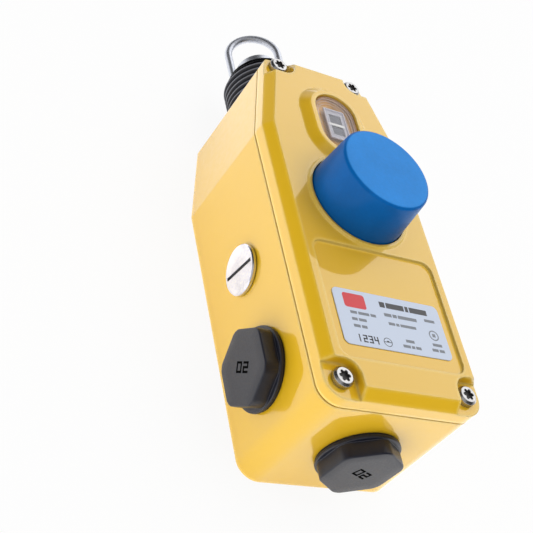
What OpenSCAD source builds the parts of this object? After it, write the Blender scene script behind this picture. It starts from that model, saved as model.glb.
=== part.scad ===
// Rope pull switch: a die-cast casing with a reset button, a sight window and a sprung pull rod.
// Millimetres. The back face lies on Z = 0, the lid faces +Z and the rope pulls towards +Y.
// The origin is the centre of the mounting holes in the back face.

/* [Casing] */
// Width of the casing
body_w = 58; // [56:0.5:66]
// Length of the casing
body_l = 140; // [138:1:156]
// Height of the casing up to its joint with the lid
body_h = 46; // [45:0.5:54]
// Width of the narrow end that the rod comes out of
top_end_w = 41; // [40:0.5:46]
// Length over which the casing narrows
taper_l = 35.4; // [28:0.2:40]
// Thickness of the side walls
wall = 3; // [2.5:0.1:3.6]
// Thickness of the back
back_wall = 4; // [3.5:0.1:4.5]
// Thickness of the end wall that holds the rod's bush
end_wall = 6; // [5:0.25:8]
// Radius of the two corners at the wide end
corner_r = 7; // [5:0.5:8]
// Radius of the other upright edges
crease_r = 2; // [1:0.25:3]

/* [Mounting] */
// Distance between the mounting holes across the casing
hole_pitch_x = 40; // [36:1:42]
// Distance between the mounting holes along the casing
hole_pitch_y = 80; // [74:1:84]
// Diameter of the tapped mounting holes
hole_d = 4.2; // [3.3:0.1:5]
// Depth of the mounting holes
hole_depth = 7.5; // [6:0.5:9]

/* [Lid] */
// Gap between the casing and the lid, which the gasket fills
seam_gap = 0.5; // [0.3:0.1:1]
// Height of the lid's upright edge
skirt_h = 4.5; // [4:0.25:6]
// Height that the sloped edge adds
slope_h = 3.5; // [2.5:0.25:4]
// Distance that the sloped edge leans inwards
slope_in = 2.9; // [2:0.1:3.4]
// Thickness of the lid's top
lid_top_t = 3.3; // [2.8:0.1:3.8]
// Thickness of the lid's upright edge
skirt_t = 4.5; // [4:0.1:5]
// Radius of the pocket round each lid screw
pocket_r = 5.3; // [4.6:0.1:5.6]

/* [Lid screws] */
// Thread diameter of the lid screws
screw_d = 4; // [3:0.5:4]
// Diameter of the screw heads
screw_head_d = 6.8; // [6:0.1:7.4]
// Height of the screw heads
screw_head_h = 2.3; // [1.8:0.1:2.8]
// Length of the screws under the head
screw_l = 14; // [12:1:18]

/* [Rating label] */
// Width of the recess for the label
recess_w = 47; // [44:0.5:48]
// Length of the recess for the label
recess_l = 42.9; // [38:0.1:43]
// Depth of the recess
recess_t = 0.9; // [0.5:0.1:1.2]
// Corner radius of the recess
recess_r = 4; // [2:0.5:5]
// Width of the label
label_w = 40.9; // [36:0.1:42]
// Length of the label
label_l = 20.3; // [16:0.1:24]
// Thickness of the label
label_t = 0.3; // [0.2:0.05:0.5]

/* [Sight window] */
// Half the width of the lens
lens_r = 8.4; // [7.5:0.1:8.8]
// Straight length between the two round ends of the lens
lens_span = 9.8; // [8:0.2:11]
// Height of the raised collar round the lens
collar_h = 2.6; // [2.2:0.1:3.2]
// Width of the flat rim on the collar
collar_rim = 1.8; // [1.4:0.1:2.2]
// Distance that the collar's outer wall spreads towards its foot
collar_spread = 3.5; // [2.5:0.1:4]
// Width of the opening in the sight frame
sight_w = 8.8; // [7:0.2:10]
// Length of the opening in the sight frame
sight_l = 12.4; // [10:0.2:14]

/* [Reset button] */
// Diameter of the button at its base
button_base_d = 35.2; // [32:0.2:36]
// Diameter of the button at its top
button_top_d = 32.7; // [30:0.1:34]
// Height of the button above the lid
button_h = 17.2; // [15:0.2:20]
// Thickness of the button's wall
button_t = 2.6; // [2:0.1:3.2]
// Travel of the button
button_travel = 4; // [3:0.25:4.5]
// Gap between the button and its well
button_gap = 0.4; // [0.3:0.05:0.6]
// Diameter of the button's stem
stem_d = 7; // [6:0.5:8]
// Height of the rim round the well
well_rim_h = 0.8; // [0.5:0.1:1.2]
// Width of the rim round the well
well_rim_w = 1.2; // [0.8:0.1:1.6]

/* [Cable entries] */
// Bore of the tapped cable entries
entry_d = 18.5; // [16:0.25:19]
// Height of the entries above the back
entry_z = 22.9; // [21:0.1:25]
// Diameter of the flange on a plug
plug_flange_d = 27.3; // [25:0.1:28.5]
// Width of the plug's hexagon across its flats
plug_af = 24; // [20:0.5:25]
// Height of the plug's hexagon
plug_hex_h = 5; // [4:0.25:6]
// Turn of the end plug's hexagon
end_plug_turn = 5; // [0:1:30]

/* [Side ports] */
// Diameter of the slotted port plugs
port_cap_d = 17.4; // [15:0.2:18.4]
// Height that a port plug stands proud
port_cap_t = 1.4; // [1:0.1:2]
// Thread diameter of the port plugs
port_d = 14; // [12:0.5:15]
// Height of the ports above the back
port_z = 24.2; // [22:0.1:27]

/* [Pull rod] */
// Diameter of the rod
rod_d = 8; // [7:0.25:9]
// Height of the rod's axis above the back
rod_z = 21.6; // [20.6:0.1:23]
// Travel of the rod from slack to fully pulled
rod_travel = 12; // [8:0.5:12]
// Radial clearance of the rod and the plungers in their bores
running_gap = 0.05; // [0.02:0.01:0.1]
// Diameter of the wire of the main spring
spring_wire = 2; // [1.6:0.1:2.4]
// Mean diameter of the main spring
spring_d = 17; // [15:0.5:18]
// Length of the main spring at rest
spring_l = 26.5; // [25:0.5:28]
// Turns of the main spring
spring_turns = 6; // [4:1:6]

/* [Pull eye] */
// Diameter of the eye's wire
eye_wire = 3; // [2.6:0.1:3.6]
// Radius of the eye's bend, to the middle of the wire
eye_r = 10; // [9:0.25:11]
// Length of the straight legs of the eye
eye_leg = 9.8; // [8:0.2:16]
// Turn of the eye about the rod's axis
eye_turn = 25; // [0:1:90]
// Gap between the legs of the eye and its cap nut
eye_nut_gap = 0.3; // [0.2:0.1:1]
// Height of the cap nut
eye_nut_t = 4.2; // [3:0.2:6]

/* [Bellows] */
// Length of the bellows
bellows_l = 25.4; // [24:0.2:30]
// Radius of the large ribs
bellows_r = 15.2; // [14.4:0.1:16]
// Number of ribs
ribs = 6; // [5:1:7]
// Depth of the folds
rib_depth = 3; // [2:0.1:3.4]
// Thickness of the rubber
bellows_t = 1.2; // [1:0.1:1.5]

/* [Contacts] */
// Diameter of the contact plungers
plunger_d = 4; // [3:0.25:5]
// Height of the contact blocks
block_h = 26; // [24:0.5:30]
// Width of the contact blocks
block_w = 10.5; // [9.5:0.25:10.5]
// Rise of the cam for each millimetre of its length
cam_slope = 0.2; // [0.12:0.02:0.22]
// Largest radius of the cam
cam_r = 9; // [8.5:0.1:9.4]

/* [Hidden] */
$fn = 64;

fit = 0.05;                 // radial gap between pieces that are fixed in each other
air = 0.35;                 // gap between pieces that move past each other
e = 0.01;                   // overshoot of cuts
over = 20;                  // reach of a cutter past the piece that it shapes

// The two ends of the casing, from which the other places are measured
end_y = body_l / 2;
foot_y = -body_l / 2;
half_w = body_w / 2;

// Levels of the lid
lid_z = body_h + seam_gap;
skirt_z = lid_z + skirt_h;
top_z = skirt_z + slope_h;
lid_under_z = top_z - lid_top_t;
pocket_z = skirt_z - 0.2;

// Outline of the casing, anticlockwise from the corner at the foot on the left
outline = [[-half_w, foot_y], [half_w, foot_y], [half_w, end_y - taper_l],
    [top_end_w / 2, end_y], [-top_end_w / 2, end_y], [-half_w, end_y - taper_l]];
outline_r = [corner_r, corner_r, crease_r, crease_r, crease_r, crease_r];

// Lid screws: two at the foot, two at the narrow end
foot_screw_in = [5.9, 6.55];
end_screw_in = [4.6, 3.5];
screw_at = [for (s = [-1, 1]) each [
    [s * (half_w - foot_screw_in[0]), foot_y + foot_screw_in[1]],
    [s * (top_end_w / 2 - end_screw_in[0]), end_y - end_screw_in[1]]]];
screw_post_r = screw_d / 2 + 2.8;

// Places along the casing
button_y = end_y - 64.4;
port_y = end_y - 76.9;
entry_y = foot_y + 25.85;
recess_y = foot_y + 12.4 + recess_l / 2;
label_y = foot_y + 27.6;

// Sight window, downwards from the rim of its collar, next to the button's well
window_web = 1;
collar_z = top_z + collar_h;
lens_top_z = collar_z - 0.7;
lens_gap = 0.15;
lens_step_z = collar_z - 1.7;
window_seal_t = 0.4;
lens_flange_z = lens_step_z - window_seal_t;
lens_flange_t = 0.8;
lens_flange_r = lens_r + 1.6;
window_y = button_y + button_base_d / 2 + button_gap + window_web + lens_flange_r + lens_span / 2;
sight_z = lens_flange_z - lens_flange_t;
sight_t = 1.6;

// Reset button, upwards from the floor of its well
stem_r = stem_d / 2;
well_r = button_base_d / 2 + button_gap;
button_hub_r = stem_r + 2;
well_floor_t = 2.5;
button_skirt_z = top_z - 1.9;
well_z = button_skirt_z - button_travel - 1.1;
button_top_z = top_z + button_h;
button_in_z = button_top_z - button_t;
button_straight_z = top_z + 1.2;
seal_t = 1.5;
clip_t = 1;
clip_z = well_z - well_floor_t - air - clip_t;

// Cable entries and side ports
entry_r = entry_d / 2;
entry_boss_l = 7;
entry_boss_r = entry_r + 3.5;
entry_l = wall + entry_boss_l;
plug_seal_t = 0.6;
plug_flange_t = 1.3;
plug_shank_l = 9.5;
port_r = port_d / 2;
port_boss_l = 3.5;
port_boss_r = port_r + 2.4;
port_seal_t = 0.3;
slot_lean = 7.5;

// Place and height of the earth terminal's boss
earth_at = [12, foot_y + 26, 8];

// Rod and what rides on it, backwards from the narrow end
rod_r = rod_d / 2;
bush_r = rod_r + 3.5;
bush_flange_t = 2.5;
bush_flange_r = bush_r + 2;
bush_nut_t = 3;
bush_nut_af = 2 * bush_r + 4;
frame_t = 2.5;
spring_front_y = end_y - end_wall - 8;
seat_t = 2.5;
seat_front_y = spring_front_y - spring_l;
seat_rear_y = seat_front_y - seat_t;
cam_l = rod_travel + 3;
cam_mid_y = seat_rear_y - 1.5 - cam_l;
cam_small_r = cam_r - cam_slope * cam_l;
cam_rear_y = cam_mid_y - cam_l - 10.2;
rear_plate_y = cam_rear_y - 0.3;
rod_rear_y = rear_plate_y - frame_t - rod_travel - 4;
bellows_end_y = end_y + bellows_l;
last_rib_y = bellows_end_y - 0.9;
half_rib = 0.45;
rib_pitch = (bellows_l - 5.7) / (ribs - 1);
eye_base_t = 2.4;
eye_base_y = bellows_end_y + 0.2;
eye_foot_y = eye_base_y + eye_base_t / 2;
eye_corner_r = 3;
eye_wire_r = eye_wire / 2;
eye_bend_y = eye_foot_y + eye_corner_r + eye_leg;
eye_nut_y = eye_base_y + eye_base_t;
eye_nut_r = eye_r - eye_wire_r - eye_nut_gap;
rod_tip_r = rod_r - 1;
rod_tip_y = eye_nut_y + eye_nut_t - 1.2;

// Frame of the mechanism, which stands on bosses on the back
frame_z = back_wall + 2;
frame_top_z = frame_z + 2;
frame_half_w = 13;
frame_boss_r = 4;
frame_screw_x = 9.5;
frame_screw_at = [for (x = [-1, 1], y = [cam_mid_y - 10.5, spring_front_y - 8])
    [x * frame_screw_x, y]];

// Contacts: the front plunger opens on a pull, the rear one on a slack rope
pull_y = cam_mid_y + cam_l - 1.5;
slack_y = cam_mid_y - 1.5;
plunger_r = plunger_d / 2;
tip_lift = (plunger_r + air) * sqrt(1 + cam_slope * cam_slope) - plunger_r;
pull_tip_x = cam_r - cam_slope * (pull_y - cam_mid_y) + tip_lift;
slack_tip_x = cam_r - cam_slope * (cam_mid_y - slack_y) + tip_lift;
block_ends = [4, 5];
block_x = half_w - wall - 0.5 - block_w;
block_y = slack_y - block_ends[0];
block_l = pull_y - slack_y + block_ends[0] + block_ends[1];
bore_end_x = block_x + block_w - 2;
plunger_end_x = bore_end_x - cam_slope * rod_travel - air;

// Latch lever, which the stem turns about its pin
lever_arm = 15.56;
pivot_y = button_y - lever_arm;
pivot_z = rod_z + 13.8;
pad_r = 1.5;
pad_z = pivot_z + 3.1;
stem_tip_z = pad_z + pad_r + 0.4;
pin_r = 1.5;
ear_x = 8;
ear_t = 2;
hub_r = 3.6;
hub_half_w = 3;

// ---- plane geometry ----

function unit(v) = v / norm(v);
function prev(p, i) = p[(i + len(p) - 1) % len(p)];
function next(p, i) = p[(i + 1) % len(p)];

// A convex outline moved inwards by d, corner by corner
function inset(p, d) = [for (i = [0 : len(p) - 1]) let (
    u = unit(p[i] - prev(p, i)), v = unit(next(p, i) - p[i]),
    turn = u[0] * v[1] - u[1] * v[0])
    p[i] + (v - u) * d / turn];

// A convex polygon with each corner rounded to its own radius
module rounded(p, r) {
    tangents = [for (i = [0 : len(p) - 1]) let (
        a = unit(prev(p, i) - p[i]), b = unit(next(p, i) - p[i]),
        half = acos(a * b) / 2, t = r[i] / tan(half))
        [p[i] + a * t, p[i] + unit(a + b) * r[i] / sin(half), p[i] + b * t]];
    polygon([for (t = tangents) each [t[0], t[2]]]);
    for (i = [0 : len(p) - 1]) translate(tangents[i][1]) circle(r[i]);
}

// The casing's outline moved inwards by d
module casing_outline(d = 0) {
    rounded(inset(outline, d), [for (r = outline_r) max(r - d, 0.6)]);
}

// A rectangle of size w by l about the origin with rounded corners
module plate(w, l, r) {
    rounded([[-w / 2, -l / 2], [w / 2, -l / 2], [w / 2, l / 2], [-w / 2, l / 2]], [r, r, r, r]);
}

// ---- solid geometry ----

// A solid with two round ends, along Y, that may taper from r1 to r2
module obround(r1, r2, h, span) {
    for (s = [-1, 1]) translate([0, s * span / 2, 0]) cylinder(r1 = r1, r2 = r2, h = h);
    rotate([90, 0, 0]) linear_extrude(span, center = true)
        polygon([[-r1, 0], [r1, 0], [r2, h], [-r2, h]]);
}

// Turns a profile of [radius, place along Y] points about the rod's axis
module turned_on_rod(points) {
    translate([0, 0, rod_z]) rotate([-90, 0, 0]) rotate_extrude() polygon(points);
}

// Children drawn along +Z come to lie along +Y on the rod's axis, from place y
module on_rod(y) {
    translate([0, y, rod_z]) rotate([-90, 0, 0]) children();
}

// Children drawn along +Z point out of the side wall on side s, from its outer face
module on_side(s, y, z) {
    translate([s * half_w, y, z]) rotate([0, s * 90, 0]) children();
}

// Children drawn along +Z point out of the end wall at the foot
module on_foot(z) {
    translate([0, foot_y, z]) rotate([90, 0, 0]) children();
}

// A coil spring of round wire along +Z, with its lowest point on Z = 0
module coil(d, wire, length, turns, steps = 20, sides = 8) {
    n = turns * steps;
    rise = length - wire;
    points = [for (i = [0 : n]) let (a = 360 * i / steps) for (j = [0 : sides - 1])
        let (b = 360 * j / sides, r = d / 2 + wire / 2 * cos(b))
        [r * cos(a), r * sin(a), wire / 2 + rise * i / n + wire / 2 * sin(b)]];
    faces = concat(
        [for (i = [0 : n - 1], j = [0 : sides - 1]) let (k = (j + 1) % sides)
            [(i + 1) * sides + j, (i + 1) * sides + k, i * sides + k, i * sides + j]],
        [[for (j = [0 : sides - 1]) j], [for (j = [sides - 1 : -1 : 0]) n * sides + j]]);
    polyhedron(points, faces);
}

// A hexagon bar of width af across its flats
module hexagon(af, h) {
    cylinder(d = af / cos(30), h = h, $fn = 6);
}

// A pan-head screw with a six-lobe socket, seated on Z = 0 with its shank below
module lobe_screw(d, head_d, head_h, length) {
    edge = head_h * 0.3;
    difference() {
        union() {
            cylinder(d = head_d, h = head_h - edge);
            translate([0, 0, head_h - edge])
                cylinder(d1 = head_d, d2 = head_d - 2 * edge, h = edge);
            translate([0, 0, -length]) cylinder(d = d - 2 * fit, h = length + e);
        }
        translate([0, 0, head_h * 0.4]) linear_extrude(head_h) {
            circle(head_d * 0.2);
            for (a = [0 : 60 : 300]) rotate(a) translate([head_d * 0.21, 0]) circle(head_d * 0.08);
        }
    }
}

// A slotted cheese-head screw, seated on Z = 0
module slot_screw(d, head_d, head_h, length) {
    difference() {
        union() {
            cylinder(d = head_d, h = head_h);
            translate([0, 0, -length]) cylinder(d = d - 2 * fit, h = length + e);
        }
        translate([-head_d, -head_d / 14, head_h / 2]) cube([2 * head_d, head_d / 7, head_h]);
    }
}

// ---- casing ----

// The room inside the casing, up through its open side
module cavity() {
    intersection() {
        translate([0, 0, back_wall]) linear_extrude(body_h) casing_outline(wall);
        translate([-body_w, foot_y, 0]) cube([2 * body_w, body_l - end_wall, 2 * body_h]);
    }
}

module housing() {
    color("gold") difference() {
        union() {
            difference() {
                linear_extrude(body_h) casing_outline();
                cavity();
            }
            intersection() {
                linear_extrude(body_h) casing_outline(wall / 2);
                union() {
                    for (p = screw_at) translate(p) cylinder(r = screw_post_r, h = body_h);
                    for (s = [-1, 1]) {
                        on_side(s, entry_y, entry_z)
                            translate([0, 0, -entry_l]) cylinder(r = entry_boss_r, h = entry_l);
                        on_side(s, port_y, port_z) translate([0, 0, -wall - port_boss_l])
                            cylinder(r = port_boss_r, h = wall + port_boss_l);
                    }
                    on_foot(entry_z)
                        translate([0, 0, -entry_l]) cylinder(r = entry_boss_r, h = entry_l);
                    mounting_pattern() cylinder(d = hole_d + 5.4, h = hole_depth + 2);
                    for (p = frame_screw_at) translate(p) cylinder(r = frame_boss_r, h = frame_z);
                }
            }
            translate([earth_at[0], earth_at[1], 0]) cylinder(r = 4, h = earth_at[2]);
        }
        for (p = screw_at) translate([p[0], p[1], body_h - screw_l])
            cylinder(d = screw_d, h = screw_l + e);
        for (s = [-1, 1]) {
            on_side(s, entry_y, entry_z)
                translate([0, 0, -entry_l - 1]) cylinder(r = entry_r, h = entry_l + 2);
            on_side(s, port_y, port_z) translate([0, 0, -wall - port_boss_l - 1])
                cylinder(r = port_r, h = wall + port_boss_l + 2);
        }
        on_foot(entry_z) translate([0, 0, -entry_l - 1]) cylinder(r = entry_r, h = entry_l + 2);
        on_rod(end_y - end_wall - 1) cylinder(r = bush_r, h = end_wall + 2);
        mounting_pattern() translate([0, 0, -1]) cylinder(d = hole_d, h = hole_depth + 1);
        for (p = frame_screw_at) translate([p[0], p[1], 1.5]) cylinder(d = 3, h = frame_z);
        translate([earth_at[0], earth_at[1], 2]) cylinder(d = 4, h = earth_at[2]);
    }
}

module mounting_pattern() {
    for (x = [-1, 1], y = [-1, 1]) translate([x * hole_pitch_x / 2, y * hole_pitch_y / 2, 0])
        children();
}

// Cuts the slope along the upper edge of the lid from corner a to corner b of the outline
module slope_cut(a, b) {
    d = b - a;
    translate([a[0], a[1], skirt_z]) rotate(atan2(d[1], d[0])) rotate([-atan(slope_in / slope_h), 0, 0])
        translate([-over / 2, -over, 0]) cube([norm(d) + over, over, over]);
}

// The pocket round a lid screw is open towards the two nearest edges of the lid
module screw_pocket(p) {
    out = [sign(p[0]), sign(p[1])];
    translate([p[0], p[1], pocket_z]) {
        cylinder(r = pocket_r, h = over);
        mirror([out[0] < 0 ? 1 : 0, 0, 0]) mirror([0, out[1] < 0 ? 1 : 0, 0]) {
            translate([-pocket_r, 0, 0]) cube([over, over, over]);
            translate([0, -pocket_r, 0]) cube([over, over, over]);
        }
    }
}

module lid() {
    color("gold") difference() {
        union() {
            difference() {
                translate([0, 0, lid_z]) linear_extrude(top_z - lid_z) casing_outline();
                for (i = [0 : len(outline) - 1]) slope_cut(outline[i], next(outline, i));
                translate([0, 0, lid_z - e]) linear_extrude(lid_under_z - lid_z + e) difference() {
                    casing_outline(skirt_t);
                    for (p = screw_at) translate(p) circle(pocket_r + 1.2);
                }
            }
            translate([0, window_y, top_z - e]) obround(lens_r + collar_rim + collar_spread,
                lens_r + collar_rim, collar_h + e, lens_span);
            translate([0, button_y, 0]) {
                translate([0, 0, well_z - well_floor_t])
                    cylinder(r = well_r + 2, h = top_z - well_z + well_floor_t - e);
                translate([0, 0, top_z - e])
                    cylinder(r1 = well_r + well_rim_w + 0.3, r2 = well_r + well_rim_w - 0.3,
                        h = well_rim_h + e);
            }
        }
        for (p = screw_at) {
            screw_pocket(p);
            translate([p[0], p[1], lid_z - 1]) cylinder(d = screw_d + 0.5, h = skirt_h + 2);
        }
        translate([0, button_y, 0]) {
            translate([0, 0, well_z]) cylinder(r = well_r, h = button_h);
            cylinder(r = stem_r + running_gap, h = top_z);
        }
        translate([0, window_y, 0]) {
            translate([0, 0, sight_z - sight_t - 5])
                obround(lens_flange_r + fit, lens_flange_r + fit, lens_step_z - sight_z + sight_t + 5,
                    lens_span);
            translate([0, 0, sight_z])
                obround(lens_r + lens_gap, lens_r + lens_gap, collar_z - sight_z + 1, lens_span);
        }
        translate([0, recess_y, top_z - recess_t]) linear_extrude(5) plate(recess_w, recess_l, recess_r);
    }
}

module lid_gasket() {
    color("black") translate([0, 0, body_h]) linear_extrude(seam_gap) difference() {
        casing_outline(0.8);
        difference() {
            casing_outline(wall - 0.1);
            for (p = screw_at) translate(p) circle(screw_post_r);
        }
        for (p = screw_at) translate(p) circle(d = screw_d + 0.5);
    }
}

module lid_screws() {
    color("silver") for (p = screw_at) translate([p[0], p[1], pocket_z])
        lobe_screw(screw_d, screw_head_d, screw_head_h, screw_l);
}

module rating_label() {
    color("white") translate([0, label_y, top_z - recess_t]) linear_extrude(label_t)
        plate(label_w, label_l, 2);
}

// ---- sight window ----

module window_lens() {
    bevel = 0.5;
    color([0.9, 0.95, 1, 0.5]) translate([0, window_y, 0]) {
        translate([0, 0, sight_z]) obround(lens_flange_r, lens_flange_r, lens_flange_t, lens_span);
        translate([0, 0, lens_flange_z - e])
            obround(lens_r, lens_r, lens_top_z - bevel - lens_flange_z + e, lens_span);
        translate([0, 0, lens_top_z - bevel]) obround(lens_r, lens_r - bevel, bevel, lens_span);
    }
}

module window_seal() {
    color("black") translate([0, window_y, lens_flange_z]) difference() {
        obround(lens_flange_r, lens_flange_r, window_seal_t, lens_span);
        translate([0, 0, -1]) obround(lens_r + fit, lens_r + fit, window_seal_t + 2, lens_span);
    }
}

// The frame under the lens, with a pointer on each long side of its opening
module sight_frame() {
    pointer = 1.6;
    color("dimgray") translate([0, window_y, sight_z - sight_t]) difference() {
        obround(lens_flange_r, lens_flange_r, sight_t, lens_span);
        translate([0, 0, -1]) linear_extrude(sight_t + 2) difference() {
            square([sight_w, sight_l], center = true);
            for (s = [-1, 1]) polygon([[s * sight_w / 2, -pointer], [s * (sight_w / 2 - pointer), 0],
                [s * sight_w / 2, pointer]]);
        }
    }
}

// ---- reset button ----

module reset_button() {
    base_r = button_base_d / 2;
    top_r = button_top_d / 2;
    in_r = top_r - button_t;
    hub_z = button_skirt_z + 2.5;
    bevel = 0.8;
    color("dodgerblue") translate([0, button_y, 0]) rotate_extrude() polygon([
        [0, button_in_z + 0.6], [0, button_top_z], [top_r - bevel, button_top_z],
        [top_r - 0.2 * bevel, button_top_z - 0.3 * bevel], [top_r, button_top_z - bevel],
        [base_r, button_straight_z], [base_r, button_skirt_z], [base_r - button_t, button_skirt_z],
        [in_r, button_in_z], [button_hub_r, button_in_z], [button_hub_r, hub_z], [stem_r + fit, hub_z],
        [stem_r + fit, button_in_z + 0.6]]);
}

module reset_stem() {
    groove = 0.8;
    color("silver") translate([0, button_y, 0]) difference() {
        translate([0, 0, stem_tip_z]) cylinder(r = stem_r, h = button_in_z + 0.5 - stem_tip_z);
        translate([0, 0, clip_z - fit]) difference() {
            cylinder(r = stem_r + 1, h = clip_t + 2 * fit);
            translate([0, 0, -1]) cylinder(r = stem_r - groove, h = clip_t + 3);
        }
    }
}

module stem_clip() {
    color("dimgray") translate([0, button_y, clip_z]) difference() {
        cylinder(r = stem_r + 2, h = clip_t);
        translate([0, 0, -1]) cylinder(r = stem_r - 0.8 + fit, h = clip_t + 2);
        translate([0, -stem_r * 0.6, -1]) cube([20, stem_r * 1.2, clip_t + 2]);
    }
}

module reset_spring() {
    clear = 0.1;
    wire = 1.2;
    color("silver") translate([0, button_y, well_z + clear])
        coil(2 * (button_hub_r + 1.5 * wire) + wire, wire, button_in_z - well_z - 2 * clear, 6);
}

module reset_seal() {
    color("black") translate([0, button_y, well_z]) difference() {
        cylinder(r = stem_r + 2, h = seal_t);
        translate([0, 0, -1]) cylinder(r = stem_r + running_gap, h = seal_t + 2);
    }
}

// ---- plugs ----

// A hexagon plug drawn along +Z, from the outer face of the wall that it closes
module hex_plug(turn) {
    flange_z = plug_seal_t + plug_flange_t;
    edge = 0.5;
    difference() {
        union() {
            translate([0, 0, plug_seal_t]) cylinder(d = plug_flange_d, h = plug_flange_t);
            intersection() {
                translate([0, 0, flange_z - e]) rotate(turn) hexagon(plug_af, plug_hex_h + e);
                union() {
                    cylinder(d = plug_flange_d - 1, h = flange_z + plug_hex_h - edge);
                    translate([0, 0, flange_z + plug_hex_h - edge])
                        cylinder(d1 = plug_flange_d - 1, d2 = plug_flange_d - 1 - 3 * edge, h = edge);
                }
            }
            translate([0, 0, plug_seal_t - plug_shank_l])
                cylinder(r = entry_r - fit, h = plug_shank_l);
        }
        translate([0, 0, plug_seal_t - plug_shank_l - 1]) cylinder(r = entry_r - 2.2, h = plug_shank_l);
    }
}

module plug_seal() {
    difference() {
        cylinder(d = plug_flange_d - 0.8, h = plug_seal_t);
        translate([0, 0, -1]) cylinder(r = entry_r + fit, h = plug_seal_t + 2);
    }
}

module side_plug() {
    color("darkslategray") on_side(-1, entry_y, entry_z) hex_plug(90);
}

module end_plug() {
    color("darkslategray") on_foot(entry_z) hex_plug(-end_plug_turn - 30);
}

module plug_seals() {
    color("black") {
        on_side(-1, entry_y, entry_z) plug_seal();
        on_foot(entry_z) plug_seal();
    }
}

module port_plugs() {
    bevel = 0.4;
    slot_w = 1.3;
    slot_l = port_cap_d - 2 * slot_w;
    color("silver") for (s = [-1, 1]) on_side(s, port_y, port_z) difference() {
        union() {
            translate([0, 0, port_seal_t]) cylinder(d = port_cap_d, h = port_cap_t - bevel);
            translate([0, 0, port_seal_t + port_cap_t - bevel])
                cylinder(d1 = port_cap_d, d2 = port_cap_d - 2 * bevel, h = bevel);
            translate([0, 0, -wall - port_boss_l]) cylinder(r = port_r - fit, h = wall + port_boss_l + 1);
        }
        rotate(s * slot_lean) translate([-slot_l / 2, -slot_w / 2, port_cap_t + port_seal_t - 1])
            cube([slot_l, slot_w, 2]);
    }
}

module port_seals() {
    color("black") for (s = [-1, 1]) on_side(s, port_y, port_z) difference() {
        cylinder(d = port_cap_d - 0.6, h = port_seal_t);
        translate([0, 0, -1]) cylinder(r = port_r + fit, h = port_seal_t + 2);
    }
}

// ---- pull rod ----

// Place and radius of the bellows' rib i; the last two ribs are smaller
function rib_y(i) = last_rib_y - (ribs - 1 - i) * rib_pitch;
function rib_r(i) = bellows_r - 1.3 * max(0, i - ribs + 3);

// The folded wall from the base to the last rib, moved inwards by t
function folds(t) = [for (i = [0 : ribs - 1]) each [
    [(i == 0 ? bellows_r : min(rib_r(i), rib_r(i - 1))) - rib_depth - t,
        rib_y(i) - rib_pitch / 2],
    [rib_r(i) - t, rib_y(i) - half_rib], [rib_r(i) - t, rib_y(i) + half_rib - (t > 0 ? 0.4 : 0)]]];

module bellows() {
    base_r = bellows_r - 2;
    neck_r = rod_r + 1.6;
    outer = concat([[bush_flange_r + fit, end_y], [base_r, end_y], [base_r, end_y + 2.4]], folds(0),
        [[rib_r(ribs - 1) - 0.5, bellows_end_y], [neck_r, bellows_end_y]]);
    inner = concat([[neck_r, bellows_end_y - bellows_t]],
        [for (i = [len(folds(0)) - 1 : -1 : 1]) [folds(bellows_t)[i][0],
            min(folds(bellows_t)[i][1], bellows_end_y - bellows_t)]],
        [[bush_flange_r + fit, end_y + bush_flange_t + 0.3]]);
    color("black") turned_on_rod(concat(outer, inner));
}

module pull_rod() {
    color("silver") turned_on_rod([[0, rod_rear_y], [rod_r - 0.5, rod_rear_y], [rod_r, rod_rear_y + 0.5],
        [rod_r, eye_base_y], [rod_tip_r, eye_base_y], [rod_tip_r, rod_tip_y], [0, rod_tip_y]]);
}

// The eye is bent from wire; its flattened foot is clamped on the rod by the cap nut
module pull_eye() {
    foot_w = 8;
    straight_x = eye_r - eye_corner_r;
    color("silver") translate([0, 0, rod_z]) rotate([0, -eye_turn, 0]) difference() {
        union() {
            translate([0, eye_bend_y, 0]) rotate_extrude(angle = 180)
                translate([eye_r, 0]) circle(eye_wire_r);
            for (s = [-1, 1]) {
                translate([s * eye_r, eye_foot_y + eye_corner_r, 0]) rotate([-90, 0, 0])
                    cylinder(r = eye_wire_r, h = eye_leg + e);
                translate([s * straight_x, eye_foot_y + eye_corner_r, 0])
                    rotate(s > 0 ? -90 : 180) rotate_extrude(angle = 90)
                        translate([eye_corner_r, 0]) circle(eye_wire_r);
            }
            intersection() {
                translate([0, eye_foot_y, 0]) rotate([0, 90, 0])
                    cylinder(r = foot_w / 2, h = 2 * straight_x + 0.4, center = true);
                translate([-eye_r, eye_base_y, -foot_w / 2]) cube([2 * eye_r, eye_base_t, foot_w]);
            }
        }
        translate([0, eye_base_y - 1, 0]) rotate([-90, 0, 0])
            cylinder(r = rod_tip_r + fit, h = eye_base_t + 2);
        translate([0, eye_base_y - 4, 0]) rotate([-90, 0, 0]) cylinder(r = eye_r, h = 4);
        translate([0, eye_nut_y, 0]) rotate([-90, 0, 0])
            cylinder(r = eye_nut_r + eye_nut_gap, h = eye_nut_t);
    }
}

module eye_nut() {
    bevel = 0.8;
    dome = 0.5;
    nut_y = eye_nut_y;
    face_y = eye_nut_y + eye_nut_t;
    color("silver") turned_on_rod([[rod_tip_r + fit, nut_y], [eye_nut_r - bevel / 2, nut_y],
        [eye_nut_r, nut_y + bevel / 2], [eye_nut_r, face_y - bevel], [eye_nut_r - bevel, face_y],
        [0, face_y + dome], [0, rod_tip_y + 0.1], [rod_tip_r + fit, rod_tip_y + 0.1]]);
}

module rod_bush() {
    color("peru") difference() {
        union() {
            on_rod(end_y - end_wall - bush_nut_t - 0.5)
                cylinder(r = bush_r - fit, h = end_wall + bush_nut_t + 1);
            on_rod(end_y) cylinder(r = bush_flange_r, h = bush_flange_t);
        }
        on_rod(end_y - 30) cylinder(r = rod_r + running_gap, h = 60);
    }
}

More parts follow.
